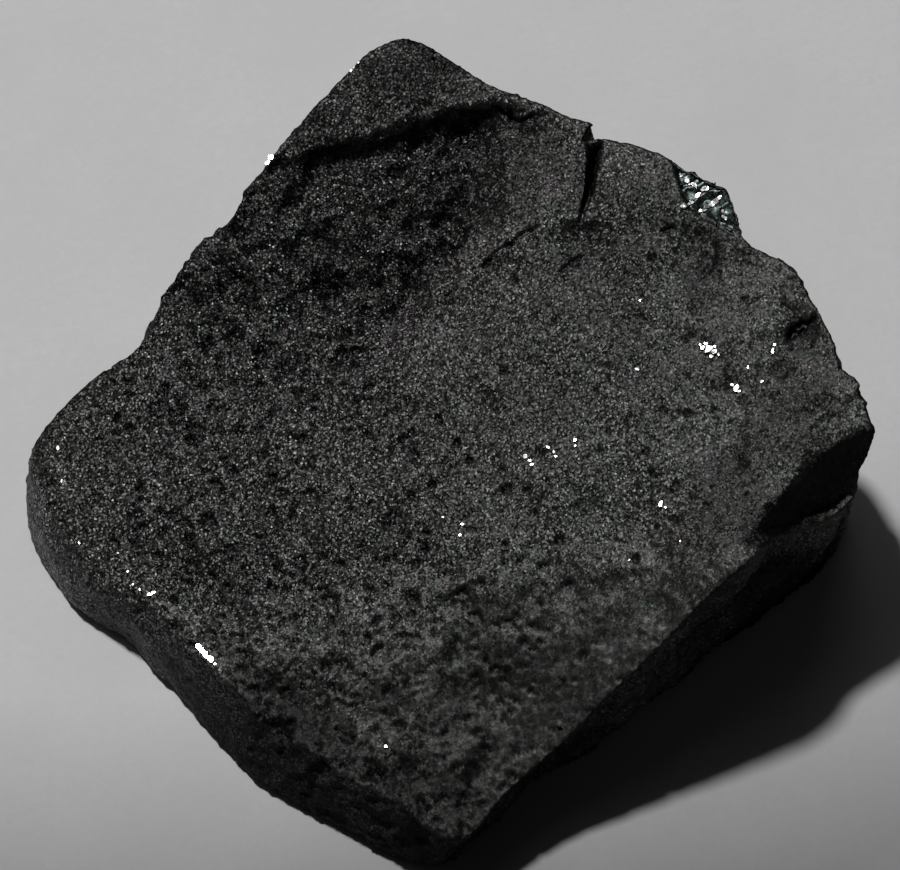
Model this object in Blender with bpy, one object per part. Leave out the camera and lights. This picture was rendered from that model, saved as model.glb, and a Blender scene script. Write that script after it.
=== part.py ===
"""A broken lump of grey selenium: one solid, flat underneath, with a sloping fracture face on top."""

import math
import random

import bmesh
import bpy
from mathutils import Vector, noise
from mathutils.geometry import delaunay_2d_cdt

MM = 0.001

# Driving dimensions, in millimetres. X runs to the right of the sloping face, Y to its high back edge.
FACE_HEIGHT = 7.5            # height of the sloping face above the middle of the base
FACE_RISE_RIGHT = 0.257      # rise for each millimetre to the right
FACE_RISE_BACK = 0.280       # rise for each millimetre towards the back
FRONT_SAG = 1.15             # the face dips by this much towards the front corner
FRONT_SAG_AT = (3.3, -12.5)
FRONT_SAG_REACH = 4.0

PLATEAU_RISE = 0.42          # the back corner stands above the face by this much
PLATEAU_END = (1.0, 3.6)     # it runs down to the face between these places along X

SCOOP_DEPTH = 0.42           # the hackly scoop under the ridge is deepest along its valley
SCOOP_RISE = 0.07            # and rises by this for each millimetre away from it
SCOOP_RAMP = 1.6             # width of the slope that climbs out of it on the right
SCOOP_FADE = 3.2             # length over which it runs out towards the front,
SCOOP_OVERRUN = 0.5          # ending this far past its end line
SCARP_WIDTH = 0.35           # the steep step below the ridge
RIB_PITCH = 1.45             # spacing of the steps in the scoop
RIB_HEIGHT = 0.20
RIB_RISER = 0.42             # share of each step that is steep and faces the front
RIB_ANGLE = math.radians(26.0)
RIB_WANDER = 1.6             # the steps wander by this share of their spacing
RIB_WANDER_LENGTH = 2.2      # over about this length
RIB_LAYER = 3.0              # each kind of unevenness reads a layer of the noise of its own
KNOB_HEIGHT = 0.30           # rounded knobs that stand between the steps
KNOB_LENGTH = 1.05
KNOB_LAYER = 5.0
KNOB_OCTAVES = 2

LEDGE_HEIGHT = 7.7           # lowest point of the ledge that is broken out below the right corner
LEDGE_MIDDLE = 13.2
LEDGE_CURVE = 0.17
LEDGE_ROLL = 1.5             # the wall over the ledge rolls over gently at its top and ends steep
LEDGE_START = 0.125          # and grows along this share of its length

CRACK_DEPTH = 1.7
CRACK_HALF_WIDTH = 0.21
CRACK_NARROWING = 0.85       # share of its width and of its depth that it loses towards its tip
CRACK_SHALLOWING = 0.75
CRACK_WALLS = (-0.75, 0.0, 0.75)  # shares of its half width at which points follow it

LUMP_HEIGHT = 0.17
LUMP_LENGTH = 2.6
LUMP_LAYER = 7.0
LUMP_OCTAVES = 3
PIT_DEPTH = 0.17
PIT_DEPTH_RANGE = (0.6, 1.2)
PIT_SHARE = 0.05             # share of the face's points that are pits, where they are thickest
PIT_EDGE = 4.0               # pits start this far back, further at the right by the lean,
PIT_EDGE_LEAN = 0.3          # and are thickest after the fade
PIT_FADE = 8.0

FACE_SPACING = 0.60          # distance between points on the face
SCOOP_SPACING = 0.42         # and in the scoop, which has sharper forms,
SCOOP_EDGE = 0.4             # where this share of its shape holds
RIM_SPACING = 0.62           # and along its rim
RIM_CLEARANCE = 0.34         # no point of the face lies closer to the rim than this,
CREASE_CLEARANCE = 0.17      # or than this where it follows a crease
MERGE_DISTANCE = 1e-7
POINT_CLEARANCE = 0.62       # points of two sets keep this share of their spacing from each other
FACE_JITTER = 0.13
SCOOP_JITTER = 0.08
FACE_SEED = 5
SCOOP_SEED = 8
PIT_SEED = 11

FLANK_ROWS = 12
FOOT_BEVEL = 0.38            # the edge of the base is broken off by this much
FLANK_SOFTENING = 3          # points of the rim on either side that the sides' outline is evened over
NOTCH_REACH = 0.5            # the rim's notches run down this share of the side
RELIEF_REACH = 1.0 / 3.0     # and the side's own relief grows over this share
LOW_SWELLING = 0.35          # the cast side swells lower down than the broken ones
FLANK_RELIEF = 0.75          # depth of the chips in the broken sides
CHIP_SIZE = 4.6
CHIP_RISE = 2.0              # how steeply a chip's hollow rises from its middle
CHIP_MIDDLE = -1.1           # and how deep its middle lies
CHIP_GRAIN = 0.35            # finer unevenness on the chips
CHIP_GRAIN_LENGTH = 1.4
SKIN_RELIEF = 0.12           # height of the waves in the smooth cast side
SKIN_WAVE_LENGTH = 2.0
SKIN_FACING = (-0.80, -0.60)  # the cast side faces this way
SKIN_LIMIT = 0.35            # and ends where the side turns from it by this
RIM_CHIP = 0.07
RIM_CHIP_LENGTH = 1.0 / 3.0
RIM_CHIP_LAYERS = (0.0, 9.0)

# The rim of the sloping face, from the left end over the back and the right corner to the front.
# Each station: X, Y, how far the foot stands out from it, and how far the side swells between them.
RIM = [
    (-14.6, 1.5, 1.2, 0.5), (-13.2, 2.8, 1.0, 0.4), (-11.3, 3.8, 1.1, 0.2), (-10.7, 4.8, 1.2, 0.1),
    (-10.3, 5.7, 1.3, 0.1), (-9.1, 7.3, 1.5, 0.1), (-7.9, 8.1, 1.5, 0.2), (-7.4, 9.1, 1.5, 0.2),
    (-6.6, 9.7, 1.4, 0.2), (-5.1, 11.4, 1.2, 0.3), (-3.8, 12.5, 1.0, 0.3), (-2.8, 13.3, 0.8, 0.2),
    (-1.8, 13.6, 0.6, 0.2), (-0.9, 13.2, 0.7, 0.2), (0.9, 11.8, 1.1, 0.3), (1.9, 11.2, 1.3, 0.2),
    (3.2, 10.7, 1.4, 0.2), (4.3, 10.0, 1.4, 0.2), (5.1, 9.7, 1.4, 0.1), (5.25, 9.45, 1.4, 0.1),
    (5.4, 9.2, 1.4, 0.1), (6.8, 8.7, 1.4, 0.2), (7.5, 8.3, 1.3, 0.2), (8.1, 7.7, 1.3, 0.2),
    (9.0, 7.2, 1.2, 0.1), (9.8, 6.7, 1.2, 0.1), (10.1, 5.6, 1.2, 0.1), (10.3, 4.7, 1.3, 0.1),
    (11.2, 4.1, 1.2, 0.1), (12.0, 3.5, 1.1, 0.2), (13.0, 1.5, 1.0, 0.3), (13.4, 0.5, 0.8, 0.2),
    (13.5, -0.1, 0.6, 0.2), (14.1, -0.6, 0.1, 0.1), (14.4, -1.6, -0.4, 0.0), (14.6, -2.4, -0.9, 0.0),
    (14.3, -3.0, -1.0, 0.0), (14.2, -3.5, -1.2, 0.0), (13.6, -4.1, -1.3, 0.1), (12.7, -4.7, -1.2, 0.1),
    (11.8, -5.2, -0.9, 0.1), (11.1, -5.7, -0.7, 0.0), (10.6, -6.3, -0.6, 0.0), (9.6, -7.1, -0.5, 0.0),
    (7.7, -8.5, -0.5, 0.0), (6.0, -9.8, -0.7, 0.0), (4.0, -11.3, -0.8, 0.0), (1.8, -13.0, -0.8, 0.0),
    (0.9, -14.2, -0.6, 0.1), (-0.3, -14.3, 0.3, 0.2), (-1.7, -13.2, 0.7, 0.2), (-3.5, -12.2, 0.8, 0.2),
    (-5.2, -10.8, 1.1, 0.2), (-6.7, -9.7, 1.2, 0.2), (-8.0, -8.3, 0.9, 0.2), (-9.4, -6.8, 0.8, 0.2),
    (-10.3, -5.8, 0.7, 0.2), (-11.3, -5.2, 0.4, 0.2), (-12.2, -4.5, 0.6, 0.3), (-12.9, -3.7, 1.0, 0.4),
    (-13.4, -2.5, 1.1, 0.5), (-14.1, -1.4, 1.3, 0.5), (-14.7, 0.0, 1.3, 0.5),
]

# Lines on the face, in plan: the ridge above the scoop, the valley at its right, the line where the scoop
# runs out, the top and the foot of the wall over the ledge, and the crack, from its mouth to its tip.
RIDGE = [(-9.0, 8.9), (-6.3, 9.6), (-4.7, 9.95), (-2.3, 10.0), (0.0, 10.55), (1.6, 10.6), (3.9, 9.7)]
VALLEY = [(1.2, 11.6), (0.5, 9.0), (0.3, 6.2), (-1.2, 5.4), (-2.2, 4.2), (-3.7, 2.2), (-4.2, 0.5)]
SCOOP_END = [(-11.5, 3.6), (-3.7, 2.0)]
LEDGE_WALL = [(10.5, -5.5), (11.4, -4.4), (12.0, -3.7), (12.7, -3.2), (13.5, -2.7), (14.9, -2.4)]
LEDGE_FOOT = [(10.5, -5.6), (11.2, -5.1), (12.3, -4.3), (13.4, -3.7), (14.3, -3.15), (14.9, -2.7)]
CRACK = [(5.25, 9.45), (5.1, 8.4), (4.85, 7.4), (4.75, 6.5)]

# Shallow hollows in the face, and swellings where the depth is negative: X, Y, depth, radius.
DENTS = [
    (4.6, 5.6, 0.35, 1.0), (8.9, 5.2, 0.30, 0.6), (8.5, 4.1, 0.25, 0.7), (12.1, 1.3, 0.30, 0.5),
    (-4.9, -10.0, 0.35, 1.5), (-8.9, -5.2, 0.30, 0.8), (1.0, -9.5, 0.25, 1.6), (6.5, -4.5, 0.18, 1.4),
    (9.5, -6.5, -0.35, 2.6), (-2.0, 12.4, -0.30, 1.3), (10.2, 5.0, -0.15, 0.8),
]

ROCK_COLOUR = (0.070, 0.070, 0.069, 1.0)
ROCK_ROUGHNESS = 0.52
ROCK_METALLIC = 0.45


def smooth_step(value):
    """Ease from 0 to 1 as the value goes from 0 to 1."""
    t = max(0.0, min(1.0, value))
    return t * t * (3.0 - 2.0 * t)


def beside_line(x, y, line):
    """Distance from a polyline, positive on the right of its direction, and the share of it travelled."""
    nearest = math.inf
    side = 1.0
    travelled = 0.0
    passed = 0.0
    for (ax, ay), (bx, by) in zip(line, line[1:]):
        dx = bx - ax
        dy = by - ay
        length = math.hypot(dx, dy)
        t = max(0.0, min(1.0, ((x - ax) * dx + (y - ay) * dy) / length ** 2))
        distance = math.hypot(x - ax - t * dx, y - ay - t * dy)
        if distance < nearest:
            nearest = distance
            side = 1.0 if dx * (y - ay) - dy * (x - ax) < 0.0 else -1.0
            travelled = passed + t * length
        passed += length
    return side * nearest, travelled / passed


def scoop_share(x, y):
    """How much of the scoop's shape holds at a place, from 0 outside it to 1 inside."""
    under_ridge = beside_line(x, y, RIDGE)[0]
    past_valley = beside_line(x, y, VALLEY)[0]
    from_end = -beside_line(x, y, SCOOP_END)[0]
    across = smooth_step(1.0 + past_valley / SCOOP_RAMP)
    before_end = smooth_step((from_end + SCOOP_OVERRUN) / SCOOP_FADE)
    return smooth_step(under_ridge / SCARP_WIDTH) * across * before_end


def unevenness(x, y, length, layer, octaves):
    """Uneven relief of about -1 to 1, whose largest forms have a given length."""
    return noise.fractal(Vector((x / length, y / length, layer)), 1.0, 2.0, octaves)


def step_height(x, y):
    """Steps that run across the scoop roughly along its ridge, each with a steep front."""
    across = y * math.cos(RIB_ANGLE) - x * math.sin(RIB_ANGLE)
    place = Vector((x / RIB_WANDER_LENGTH, y / RIB_WANDER_LENGTH, RIB_LAYER))
    phase = across / RIB_PITCH + RIB_WANDER * noise.noise(place)
    share = phase % 1.0
    if share < RIB_RISER:
        return RIB_HEIGHT * (share / RIB_RISER - 0.5)
    return RIB_HEIGHT * (0.5 - (share - RIB_RISER) / (1.0 - RIB_RISER))


def knob_height(x, y):
    """Rounded knobs and hollows of uneven size, which hide most of the steps."""
    return KNOB_HEIGHT * unevenness(x, y, KNOB_LENGTH, KNOB_LAYER, KNOB_OCTAVES)


def scoop_offset(x, y):
    """Level of the scoop's floor against the face around it."""
    past_valley = max(0.0, beside_line(x, y, VALLEY)[0])
    return -SCOOP_DEPTH + SCOOP_RISE * past_valley + step_height(x, y) + knob_height(x, y)


def plateau_offset(x, y):
    """Level of the back corner, behind the ridge, against the face."""
    behind = -beside_line(x, y, RIDGE)[0]
    end = 1.0 - smooth_step((x - PLATEAU_END[0]) / (PLATEAU_END[1] - PLATEAU_END[0]))
    return PLATEAU_RISE * end * smooth_step(0.5 + behind / SCARP_WIDTH)


def crack_depth(x, y):
    """A narrow crack that closes towards its tip."""
    beside, along = beside_line(x, y, CRACK)
    half_width = CRACK_HALF_WIDTH * (1.0 - CRACK_NARROWING * along)
    depth = CRACK_DEPTH * (1.0 - CRACK_SHALLOWING * along)
    return depth * max(0.0, 1.0 - abs(beside) / half_width)


def dent_depth(x, y):
    """Total depth of the shallow hollows at a place."""
    return sum(depth * math.exp(-((x - cx) ** 2 + (y - cy) ** 2) / radius ** 2)
               for cx, cy, depth, radius in DENTS)


def ledge_level(x):
    """Height of the narrow ledge below the right corner."""
    return LEDGE_HEIGHT + LEDGE_CURVE * (x - LEDGE_MIDDLE) ** 2


def ledge_share(x, y):
    """How far down the wall a place lies: 0 on the face, 1 on the ledge at the wall's foot."""
    below_top, along = beside_line(x, y, LEDGE_WALL)
    above_foot = max(0.0, -beside_line(x, y, LEDGE_FOOT)[0])
    if below_top <= 0.0:
        return 0.0
    share = below_top / (below_top + above_foot)
    return share ** LEDGE_ROLL * smooth_step(along / LEDGE_START)


def face_height(x, y):
    """Height of the sloping face with its large forms and its lumps, without single pits."""
    z = FACE_HEIGHT + FACE_RISE_RIGHT * x + FACE_RISE_BACK * y
    from_sag = math.hypot(x - FRONT_SAG_AT[0], y - FRONT_SAG_AT[1])
    z -= FRONT_SAG * math.exp(-(from_sag / FRONT_SAG_REACH) ** 2)
    z += scoop_share(x, y) * scoop_offset(x, y) + plateau_offset(x, y)
    z -= dent_depth(x, y)
    z += LUMP_HEIGHT * unevenness(x, y, LUMP_LENGTH, LUMP_LAYER, LUMP_OCTAVES)
    z += (ledge_level(x) - z) * ledge_share(x, y)
    return z - crack_depth(x, y)


def curve_between(p0, p1, p2, p3, t):
    """A point on the Catmull-Rom curve from p1 to p2; works on stations of any number of values."""
    return [0.5 * (2.0 * b + (c - a) * t + (2.0 * a - 5.0 * b + 4.0 * c - d) * t ** 2
                   + (3.0 * b - a - 3.0 * c + d) * t ** 3)
            for a, b, c, d in zip(p0, p1, p2, p3)]


def rim_loop():
    """The rim's points: every station, and curved and slightly chipped stretches between them."""
    points = []
    count = len(RIM)
    for index, station in enumerate(RIM):
        before = RIM[index - 1]
        after = RIM[(index + 1) % count]
        beyond = RIM[(index + 2) % count]
        length = math.dist(station[:2], after[:2])
        steps = max(1, round(length / RIM_SPACING))
        for step in range(steps):
            x, y, foot, swell = curve_between(before, station, after, beyond, step / steps)
            if step:
                x += RIM_CHIP * unevenness(x, y, RIM_CHIP_LENGTH, RIM_CHIP_LAYERS[0], 1)
                y += RIM_CHIP * unevenness(x, y, RIM_CHIP_LENGTH, RIM_CHIP_LAYERS[1], 1)
            points.append((x, y, foot, swell))
    return points


def loop_normals(places):
    """Outward normals of a closed plan loop that runs clockwise, taken across a few neighbours."""
    count = len(places)
    normals = []
    for index in range(count):
        ax, ay = places[index - FLANK_SOFTENING]
        bx, by = places[(index + FLANK_SOFTENING) % count]
        normal = Vector((ay - by, bx - ax)).normalized()
        normals.append(normal)
    return normals


def softened(places):
    """The loop with its notches evened out, as the side is lower down."""
    count = len(places)
    result = []
    for index in range(count):
        reach = range(-FLANK_SOFTENING, FLANK_SOFTENING + 1)
        window = [places[(index + offset) % count] for offset in reach]
        result.append((sum(x for x, _ in window) / len(window), sum(y for _, y in window) / len(window)))
    return result


def skin_share(normal):
    """1 on the smooth cast side, which faces front left, and 0 on the broken sides."""
    facing = normal.dot(Vector(SKIN_FACING))
    return smooth_step((facing - SKIN_LIMIT) / SKIN_LIMIT)


def side_relief(place, skin):
    """Relief of the side, outwards: shell-shaped chips with sharp edges between them, or slight waves."""
    from_chip = noise.voronoi(place / CHIP_SIZE)[0][0]
    broken = CHIP_RISE * from_chip + CHIP_MIDDLE + CHIP_GRAIN * noise.noise(place / CHIP_GRAIN_LENGTH)
    cast = noise.noise(place / SKIN_WAVE_LENGTH)
    return (1.0 - skin) * FLANK_RELIEF * broken + skin * SKIN_RELIEF * cast


def side_rows(rim, rim_heights):
    """Rows of points from the rim down to the edge of the base."""
    places = [(x, y) for x, y, _, _ in rim]
    soft = softened(places)
    normals = loop_normals(soft)
    rows = []
    for row in range(FLANK_ROWS + 1):
        t = row / FLANK_ROWS
        blend = smooth_step(t / NOTCH_REACH)
        points = []
        for index, (x, y, foot, swell) in enumerate(rim):
            normal = normals[index]
            skin = skin_share(normal)
            swelling = math.sin(math.pi * t ** (1.0 - LOW_SWELLING * skin))
            out = foot * t + swell * swelling
            height = FOOT_BEVEL + (rim_heights[index] - FOOT_BEVEL) * (1.0 - t)
            px = x + (soft[index][0] - x) * blend
            py = y + (soft[index][1] - y) * blend
            if row:
                out += side_relief(Vector((px, py, height)), skin) * smooth_step(t / RELIEF_REACH)
            points.append((px + out * normal.x, py + out * normal.y, height))
        rows.append(points)
    base = [(x - FOOT_BEVEL * normals[i].x, y - FOOT_BEVEL * normals[i].y, 0.0)
            for i, (x, y, _) in enumerate(rows[-1])]
    rows.append(base)
    return rows


def lattice(rim, spacing, jitter, seed):
    """Points of a triangular lattice inside the rim and clear of it, each moved a little."""
    shake = random.Random(seed)
    edge = [(x, y) for x, y, _, _ in rim]
    edge.append(edge[0])
    left = min(x for x, _ in edge)
    right = max(x for x, _ in edge)
    low = min(y for _, y in edge)
    high = max(y for _, y in edge)
    row_step = spacing * math.sqrt(0.75)
    points = []
    for row in range(int((high - low) / row_step) + 1):
        for column in range(int((right - left) / spacing) + 1):
            x = left + spacing * (column + 0.5 * (row % 2)) + shake.uniform(-jitter, jitter)
            y = low + row_step * row + shake.uniform(-jitter, jitter)
            if beside_line(x, y, edge)[0] > RIM_CLEARANCE and inside(x, y, edge):
                points.append((x, y))
    return points


def inside(x, y, edge):
    """Whether a place lies inside a closed plan loop."""
    crossed = False
    for (ax, ay), (bx, by) in zip(edge, edge[1:]):
        if (ay > y) != (by > y) and x < ax + (y - ay) * (bx - ax) / (by - ay):
            crossed = not crossed
    return crossed


def crease_points(line, spacing, offset):
    """Points along a line on the face, moved sideways by an offset to its right."""
    points = []
    for (ax, ay), (bx, by) in zip(line, line[1:]):
        length = math.dist((ax, ay), (bx, by))
        steps = max(1, round(length / spacing))
        right_x = (by - ay) / length
        right_y = (ax - bx) / length
        for step in range(steps):
            t = step / steps
            points.append((ax + (bx - ax) * t + offset * right_x, ay + (by - ay) * t + offset * right_y))
    return points


def face_points(rim):
    """Plan points of the face: the creases first, then the lattice clear of them."""
    edge = [(x, y) for x, y, _, _ in rim]
    edge.append(edge[0])
    creases = []
    for line, offsets in (
        (RIDGE, (0.0, SCARP_WIDTH)),
        (LEDGE_WALL, (0.0,)),
        (LEDGE_FOOT, (0.0,)),
        (CRACK[1:], [share * CRACK_HALF_WIDTH for share in CRACK_WALLS]),
    ):
        for offset in offsets:
            creases += crease_points(line, FACE_SPACING, offset)
    creases.append((CRACK[-1][0], CRACK[-1][1] - CRACK_HALF_WIDTH))
    kept = [p for p in creases if inside(*p, edge) and abs(beside_line(*p, edge)[0]) > CREASE_CLEARANCE]
    scoop = lattice(rim, SCOOP_SPACING, SCOOP_JITTER, SCOOP_SEED)
    kept += clear_of(kept, [p for p in scoop if scoop_share(*p) > SCOOP_EDGE], SCOOP_SPACING)
    face = lattice(rim, FACE_SPACING, FACE_JITTER, FACE_SEED)
    return kept, clear_of(kept, face, FACE_SPACING)


def clear_of(taken, points, spacing):
    """The points that keep most of a spacing from those already taken."""
    least = POINT_CLEARANCE * spacing
    return [p for p in points if all(math.dist(p, other) > least for other in taken)]


def pitted(points):
    """Heights of the lattice points, some of them pressed in as small gas pits."""
    chance = random.Random(PIT_SEED)
    heights = []
    for x, y in points:
        height = face_height(x, y)
        crowd = smooth_step((PIT_EDGE + PIT_EDGE_LEAN * x - y) / PIT_FADE)
        if chance.random() < PIT_SHARE * crowd:
            height -= PIT_DEPTH * chance.uniform(*PIT_DEPTH_RANGE)
        heights.append(height)
    return heights


def fill(bm, loop, free):
    """Triangles between a loop of existing vertices and free vertices inside it."""
    vertices = loop + free
    plan = [v.co.xy for v in vertices]
    edges = [(i, (i + 1) % len(loop)) for i in range(len(loop))]
    _, _, faces, origins, _, _ = delaunay_2d_cdt(plan, edges, [], 1, MERGE_DISTANCE)
    for face in faces:
        bm.faces.new([vertices[origins[index][0]] for index in face])


def build_mesh():
    """The whole fragment as one closed mesh, centred over the origin and standing on it."""
    bm = bmesh.new()
    rim = rim_loop()
    rim_heights = [face_height(x, y) for x, y, _, _ in rim]
    rows = [[bm.verts.new(point) for point in row] for row in side_rows(rim, rim_heights)]
    for upper, lower in zip(rows, rows[1:]):
        for index in range(len(upper)):
            after = (index + 1) % len(upper)
            corners = (upper[index], upper[after], lower[after], lower[index])
            bm.faces.new((corners[0], corners[1], corners[2]))
            bm.faces.new((corners[0], corners[2], corners[3]))
    kept, free = face_points(rim)
    heights = [face_height(x, y) for x, y in kept] + pitted(free)
    fill(bm, rows[0], [bm.verts.new((x, y, z)) for (x, y), z in zip(kept + free, heights)])
    fill(bm, rows[-1], [])
    bmesh.ops.recalc_face_normals(bm, faces=bm.faces)
    centre_over_origin(bm)
    mesh = bpy.data.meshes.new("selenium_fragment")
    bm.to_mesh(mesh)
    bm.free()
    return mesh


def centre_over_origin(bm):
    """Move the fragment so that its box is centred on the Z axis, and scale it to metres."""
    xs = [v.co.x for v in bm.verts]
    ys = [v.co.y for v in bm.verts]
    shift = Vector((-0.5 * (min(xs) + max(xs)), -0.5 * (min(ys) + max(ys)), 0.0))
    for vertex in bm.verts:
        vertex.co = (vertex.co + shift) * MM


def rock_material():
    """Dark grey, slightly metallic grain."""
    material = bpy.data.materials.new("grey_selenium")
    material.use_nodes = True
    shader = material.node_tree.nodes["Principled BSDF"]
    shader.inputs["Base Color"].default_value = ROCK_COLOUR
    shader.inputs["Roughness"].default_value = ROCK_ROUGHNESS
    shader.inputs["Metallic"].default_value = ROCK_METALLIC
    return material


def main():
    for thing in list(bpy.data.objects):
        bpy.data.objects.remove(thing)
    mesh = build_mesh()
    mesh.materials.append(rock_material())
    fragment = bpy.data.objects.new("selenium_fragment", mesh)
    bpy.context.collection.objects.link(fragment)


main()
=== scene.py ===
import math
import random

import bmesh
import bpy
import numpy as np
from mathutils import Matrix, Vector, kdtree, noise


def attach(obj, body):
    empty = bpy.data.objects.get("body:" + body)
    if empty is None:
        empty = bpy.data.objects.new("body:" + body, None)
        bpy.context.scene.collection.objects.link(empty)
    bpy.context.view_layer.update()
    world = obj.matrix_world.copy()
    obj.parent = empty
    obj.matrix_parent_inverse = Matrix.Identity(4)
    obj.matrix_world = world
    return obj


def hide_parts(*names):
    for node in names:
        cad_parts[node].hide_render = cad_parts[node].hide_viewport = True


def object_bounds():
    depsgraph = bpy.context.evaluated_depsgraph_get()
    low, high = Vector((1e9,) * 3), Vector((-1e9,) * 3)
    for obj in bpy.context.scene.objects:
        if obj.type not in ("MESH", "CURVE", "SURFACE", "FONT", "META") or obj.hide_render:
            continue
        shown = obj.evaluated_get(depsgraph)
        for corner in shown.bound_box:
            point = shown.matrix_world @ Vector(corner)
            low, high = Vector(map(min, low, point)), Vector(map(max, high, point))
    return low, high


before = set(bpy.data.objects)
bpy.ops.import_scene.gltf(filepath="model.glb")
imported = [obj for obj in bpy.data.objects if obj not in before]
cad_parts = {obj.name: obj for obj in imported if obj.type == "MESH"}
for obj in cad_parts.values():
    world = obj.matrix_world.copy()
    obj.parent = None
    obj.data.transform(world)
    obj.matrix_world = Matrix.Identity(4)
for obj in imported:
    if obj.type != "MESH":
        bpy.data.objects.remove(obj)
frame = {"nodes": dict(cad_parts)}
cadLow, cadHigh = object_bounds()
mm = 0.001
print("frame loaded, nodes:", ", ".join(frame["nodes"]))

# lengths are in millimetres, and places on the lump are measured from this middle, along the frame's axes
middle = Vector((0.450, 0.073, 0.0))

camera = {
    "target": (0.0, 0.0, 6.0),
    "elevation": 60.0,      # degrees above the horizon
    "distance": 140.0,
    "sensor": 36.0,
    "widthSeen": 900 / 28,  # across the image, at the target
    "nearest": 5.0,
    "farthest": 20000.0,
}

keyLight = {
    "toward": (-0.29, 0.26, 0.92),
    "distance": 520.0,
    "diameter": 46.0,
    "power": 1.62,          # watts
}

fillLights = {
    # toward, distance, diameter, watts
    "overhead": ((-0.35, 0.30, 0.89), 420.0, 320.0, 0.050),
    "behind": ((0.05, 0.93, 0.36), 420.0, 260.0, 0.055),
}

surroundings = {
    "backdrop": (0.47, 0.47, 0.475, 1.0),
    "glow": (1.0, 1.0, 1.0, 1.0),
    "strength": 0.011,      # of the glow
}


def eyePlace():
    tilt = math.radians(camera["elevation"])
    back = Vector((0.0, -math.cos(tilt), math.sin(tilt)))
    return Vector(camera["target"]) + back * camera["distance"]


def keyPlace():
    return Vector(camera["target"]) + Vector(keyLight["toward"]).normalized() * keyLight["distance"]


def ease(values):
    t = np.clip(values, 0.0, 1.0)
    return t * t * (3.0 - 2.0 * t)


# 0 up to the start, and 1 when the stretch after it is over
def grows(values, start, stretch):
    return ease((values - start) / stretch)


# 0 from the end on, and 1 before the stretch that leads to it
def fades(values, end, stretch):
    return ease((end - values) / stretch)


# distance of each point from a line of stations in plan, positive on its right, and the share travelled
def besideLine(places, line):
    nearest = np.full(len(places), np.inf)
    side = np.ones(len(places))
    travelled = np.zeros(len(places))
    passed = 0.0
    for start, end in zip(np.array(line[:-1]), np.array(line[1:])):
        run = end - start
        length = np.hypot(*run)
        offset = places[:, :2] - start
        t = np.clip(offset @ run / length ** 2, 0.0, 1.0)
        away = offset - t[:, None] * run
        distance = np.hypot(away[:, 0], away[:, 1])
        closer = distance < nearest
        turn = run[0] * offset[:, 1] - run[1] * offset[:, 0]
        nearest = np.where(closer, distance, nearest)
        side = np.where(closer, np.where(turn < 0.0, 1.0, -1.0), side)
        travelled = np.where(closer, passed + t * length, travelled)
        passed += length
    return side * nearest, travelled / passed


def addPiece(name, bm):
    mesh = bpy.data.meshes.new(name)
    bm.to_mesh(mesh)
    bm.free()
    piece = bpy.data.objects.new(name, mesh)
    bpy.context.collection.objects.link(piece)
    return piece


def insideOutline(places, outline):
    crossed = np.zeros(len(places), dtype=bool)
    x, y = places[:, 0], places[:, 1]
    for (ax, ay), (bx, by) in zip(outline, outline[1:] + outline[:1]):
        if ay == by:
            continue
        spans = (ay > y) != (by > y)
        crossed ^= spans & (x < ax + (y - ay) * (bx - ax) / (by - ay))
    return crossed


waves = {
    # length of the largest waves, layers, seed, how much taller than wide they are
    "swell": (1.1, 3, 1, 1.0),
    "crumb": (0.19, 2, 3, 1.0),
    "hackle": (0.70, 3, 4, 1.0),
    "hackleRidges": (1.6 * 0.70, 2, 5, 1.0),
    "splinter": (0.34, 3, 7, 2.4),
    "skin": (0.8, 3, 8, 1.0),
    "chipWander": (0.9, 2, 9, 1.0),
    "chipSwell": (0.35, 2, 10, 1.0),
    "shadePatches": (1.3, 2, 12, 1.0),
    "ragged": (0.55, 3, 13, 1.0),
    "striation": (0.24, 2, 14, 4.5),
    "hollowEdge": (0.42, 3, 15, 1.0),
    "shadeRidgeWaves": (0.4, 3, 16, 1.0),
    "skinFolds": (1.3, 3, 17, 1.0),
    "shadeLipWaves": (1.1, 3, 18, 1.0),
    "pitCrowds": (2.2, 2, 22, 1.0),
}


# layered noise, about -1 to 1
def wavesAt(places, name):
    length, layers, seed, taller = waves[name]
    scaled = places / (np.array((1.0, 1.0, taller)) * length) + seed * 17.3
    return np.array([noise.fractal(Vector(p), 1.0, 2.0, layers) for p in scaled])


# distance to the nearest of scattered cell middles, in cell sizes
def cellsAt(places, size, seed):
    scaled = places / size + seed * 11.7
    return np.array([noise.voronoi(Vector(p))[0][0] for p in scaled])


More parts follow.
